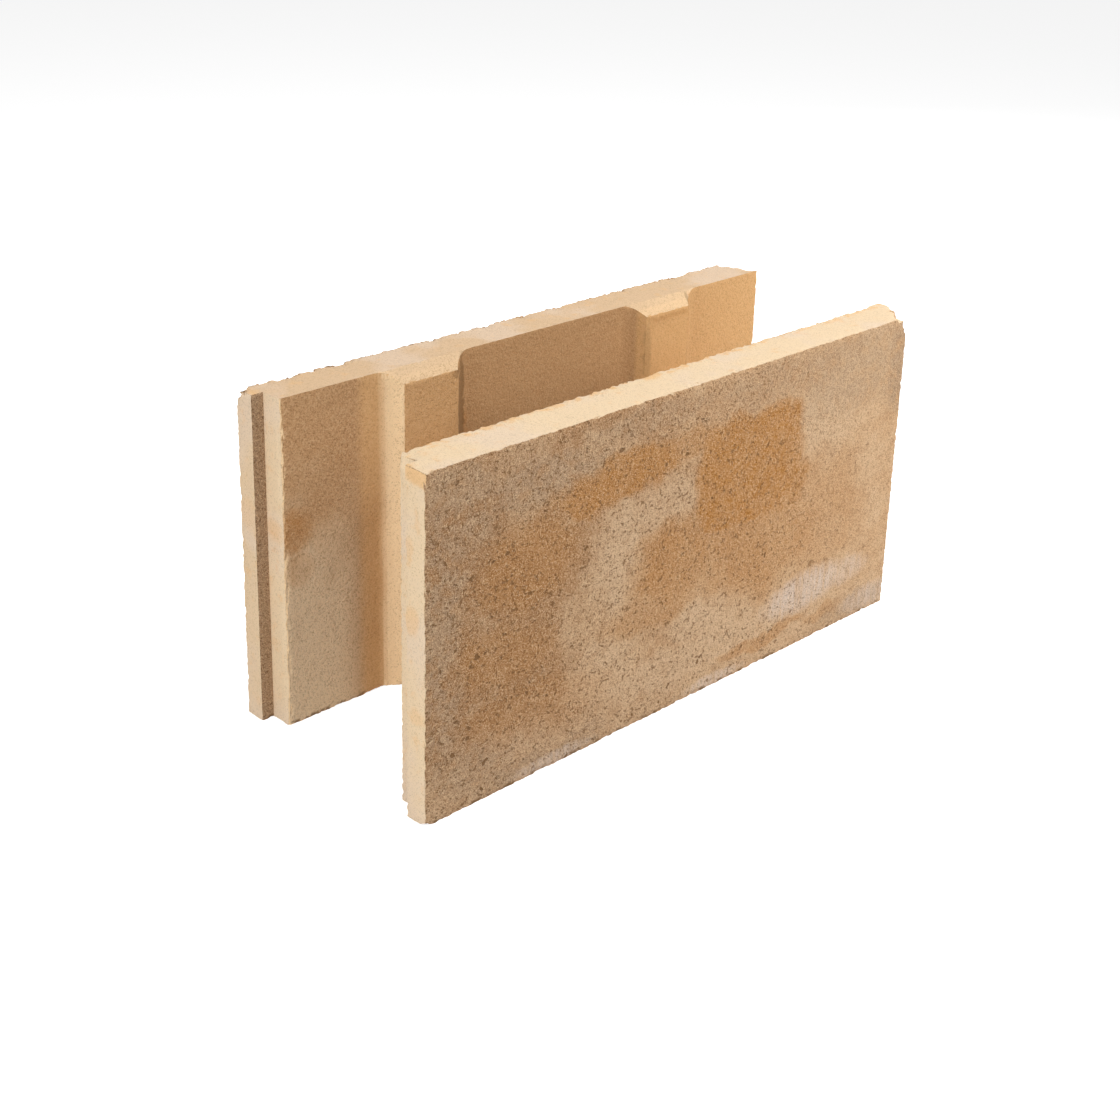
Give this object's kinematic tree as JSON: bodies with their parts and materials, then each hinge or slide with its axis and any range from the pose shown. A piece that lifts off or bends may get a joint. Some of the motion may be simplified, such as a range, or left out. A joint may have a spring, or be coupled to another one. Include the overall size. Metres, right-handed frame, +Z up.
{
  "type": "concrete formwork block",
  "caption": "Hollow concrete formwork block: parallel face shells joined by lowered cross webs, with lapped ends and open cells that are filled with concrete.",
  "frame": {"origin": "centre of the block's outline on its bottom bed face", "axes": "+X along the block towards the end with the inner tongues, +Y across the block, +Z up from the bottom bed face to the open top"},
  "size_m": [0.51, 0.2, 0.25],
  "materials": {
    "concrete": "rough sandy cast concrete"
  },
  "bodies": {
    "root": {"formwork_block": "concrete"}
  },
  "joints": []
}
